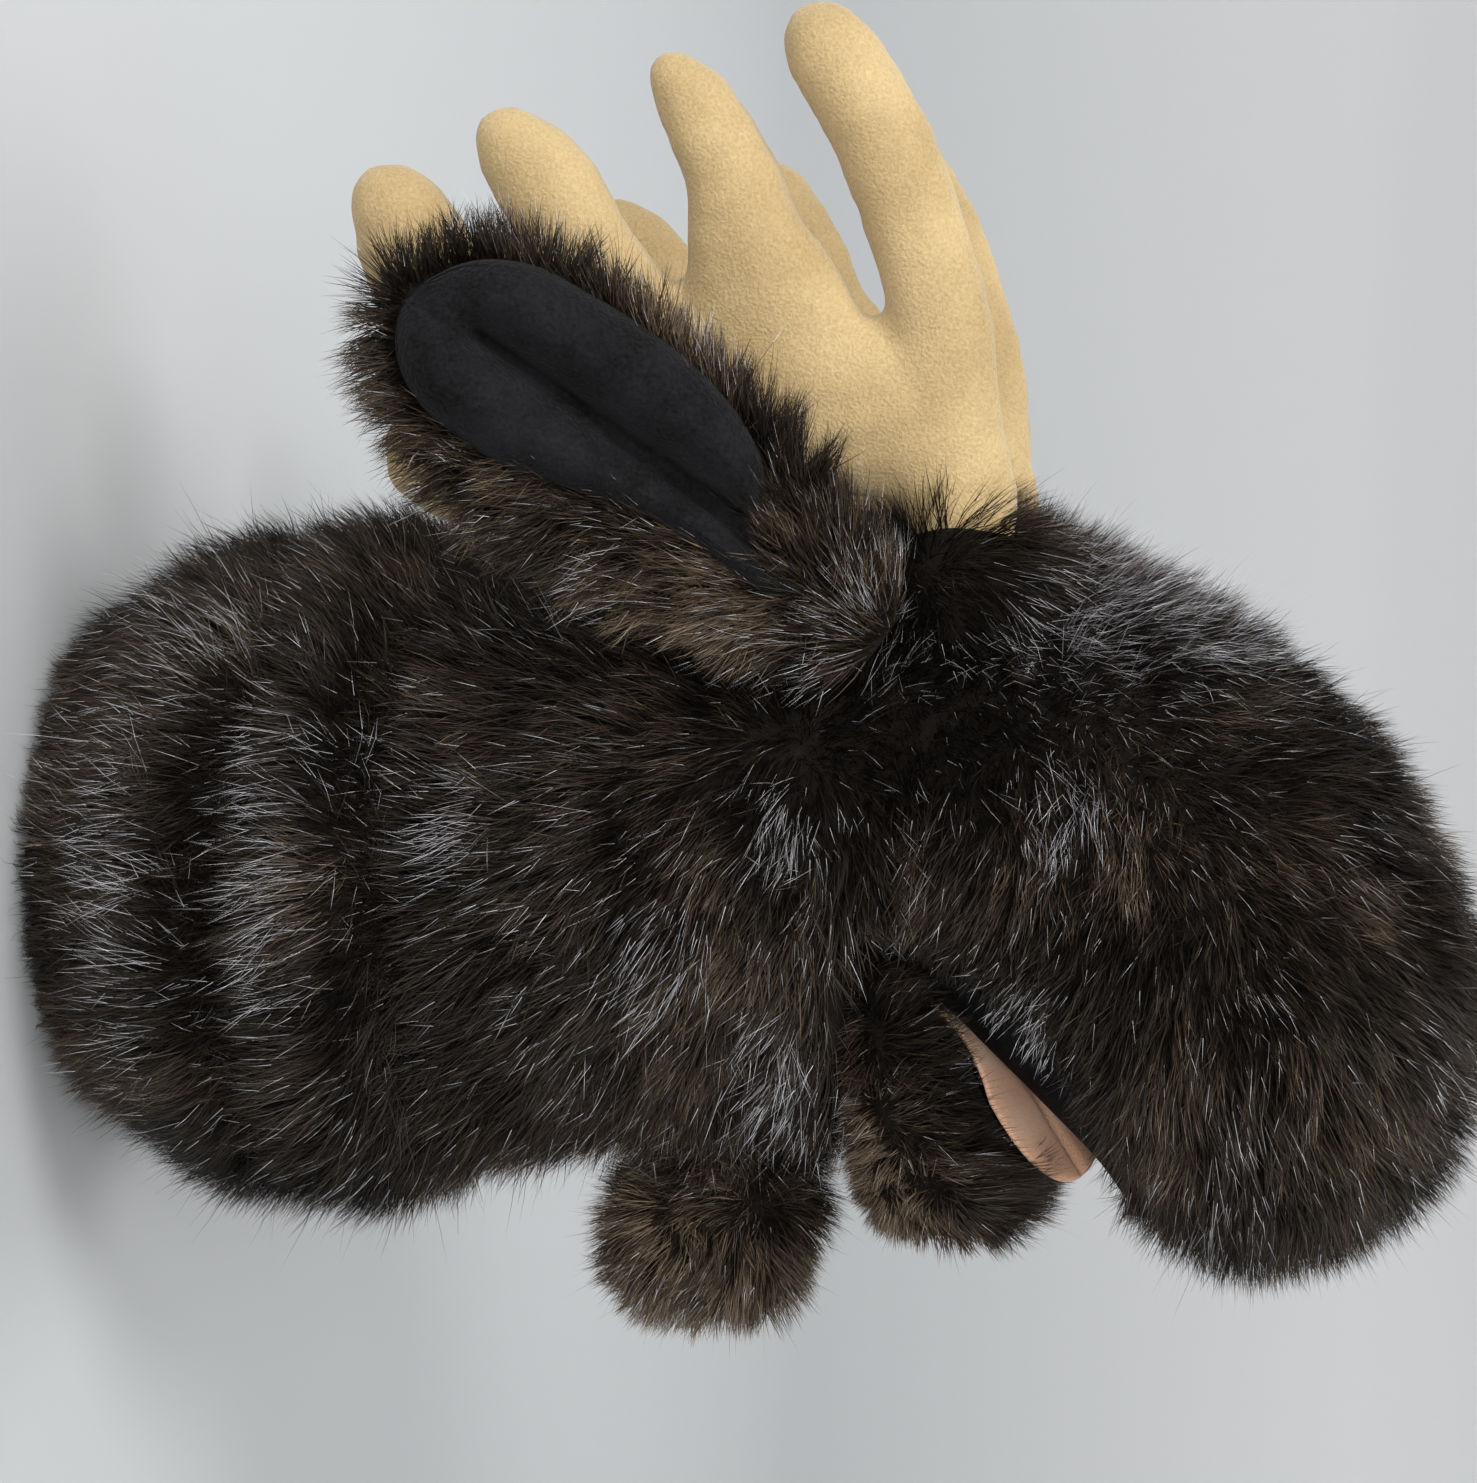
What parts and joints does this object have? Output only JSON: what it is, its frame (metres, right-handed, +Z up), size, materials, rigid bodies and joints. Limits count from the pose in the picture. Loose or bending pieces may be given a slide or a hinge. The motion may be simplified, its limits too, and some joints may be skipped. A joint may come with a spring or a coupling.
{
  "type": "moose hand puppet",
  "caption": "Plush moose head and neck hand puppet in dark brown fur, with a moving mouth, felt tongue, dewlap, flapping ears and stuffed tan antlers, standing on its sleeve opening.",
  "frame": {"origin": "middle of the bounding box, on the plane that the sleeve opening stands on", "axes": "+Z up the sleeve to the nose, +X to the throat and chin side, -Y to the moose's right side"},
  "size_m": [0.3266, 0.223, 0.3723],
  "materials": {
    "dark_fur": "matte",
    "brown_fur": "matte",
    "mouth_cloth": "matte",
    "nostril_felt": "matte",
    "ear_fleece": "matte",
    "antler_plush": "matte",
    "tongue_felt": "matte",
    "fibre_filling": "matte",
    "lining_cloth": "satin",
    "eye_plastic": "gloss",
    "washer_plastic": "matte"
  },
  "bodies": {
    "neck": {"sleeve_hem": "dark_fur", "sleeve_panel_right": "dark_fur", "sleeve_panel_left": "dark_fur", "sleeve_lining": "lining_cloth"},
    "wrist": {"neck_bend": "dark_fur"},
    "head": {"nape_panel_right": "dark_fur", "nape_panel_left": "dark_fur", "throat_panel": "dark_fur", "crown_panel": "dark_fur", "cheek_right": "dark_fur", "cheek_left": "dark_fur", "muzzle_right": "dark_fur", "muzzle_left": "dark_fur", "muzzle_bridge": "dark_fur", "crown_filling": "fibre_filling", "muzzle_filling": "fibre_filling", "finger_pocket": "lining_cloth", "upper_palate": "mouth_cloth", "eye_right": "eye_plastic", "eye_left": "eye_plastic", "eye_washer_right": "washer_plastic", "eye_washer_left": "washer_plastic", "nostril_right": "nostril_felt", "nostril_left": "nostril_felt", "antler_right_outer": "antler_plush", "antler_right_inner": "antler_plush", "antler_right_filling": "fibre_filling", "antler_left_outer": "antler_plush", "antler_left_inner": "antler_plush", "antler_left_filling": "fibre_filling"},
    "lower_jaw": {"jaw_cover": "brown_fur", "jaw_filling": "fibre_filling", "lower_palate": "mouth_cloth", "thumb_pocket": "lining_cloth", "tongue": "tongue_felt"},
    "dewlap": {"dewlap_skin_right": "brown_fur", "dewlap_skin_left": "brown_fur", "dewlap_filling": "fibre_filling"},
    "ear_right": {"ear_fur_right": "dark_fur", "ear_lining_right": "ear_fleece"},
    "ear_left": {"ear_fur_left": "dark_fur", "ear_lining_left": "ear_fleece"}
  },
  "joints": [
    {"name": "head_turn", "type": "hinge", "parent": "neck", "child": "wrist", "pos_m": [0.04731, 0, 0.11], "axis": [0, 0, 1], "range_deg": [-20, 20], "deforming": ["neck_bend"]},
    {"name": "head_nod", "type": "hinge", "parent": "wrist", "child": "head", "pos_m": [0.04631, 0, 0.13], "axis": [0, 1, 0], "range_deg": [-8, 20], "deforming": ["neck_bend"]},
    {"name": "jaw_open", "type": "hinge", "parent": "head", "child": "lower_jaw", "pos_m": [0.06331, 0, 0.216], "axis": [0, 1, 0], "range_deg": [-8, 24], "deforming": ["throat_panel", "tongue"]},
    {"name": "dewlap_swing", "type": "hinge", "parent": "head", "child": "dewlap", "pos_m": [0.13331, 0, 0.146], "axis": [0, 1, 0], "range_deg": [-6.4, 19.2]},
    {"name": "ear_right_flap", "type": "hinge", "parent": "head", "child": "ear_right", "pos_m": [-0.00869, -0.057, 0.224], "axis": [-0.8043, 0, 0.5942], "range_deg": [-4, 25], "stiffness_Nm_per_rad": 0.15},
    {"name": "ear_left_flap", "type": "hinge", "parent": "head", "child": "ear_left", "pos_m": [-0.00869, 0.057, 0.224], "axis": [0.8043, 0, -0.5942], "range_deg": [-4, 25], "stiffness_Nm_per_rad": 0.15}
  ],
  "couplings": [
    {"joint": "dewlap_swing", "follows": "jaw_open", "ratio": 0.8}
  ]
}
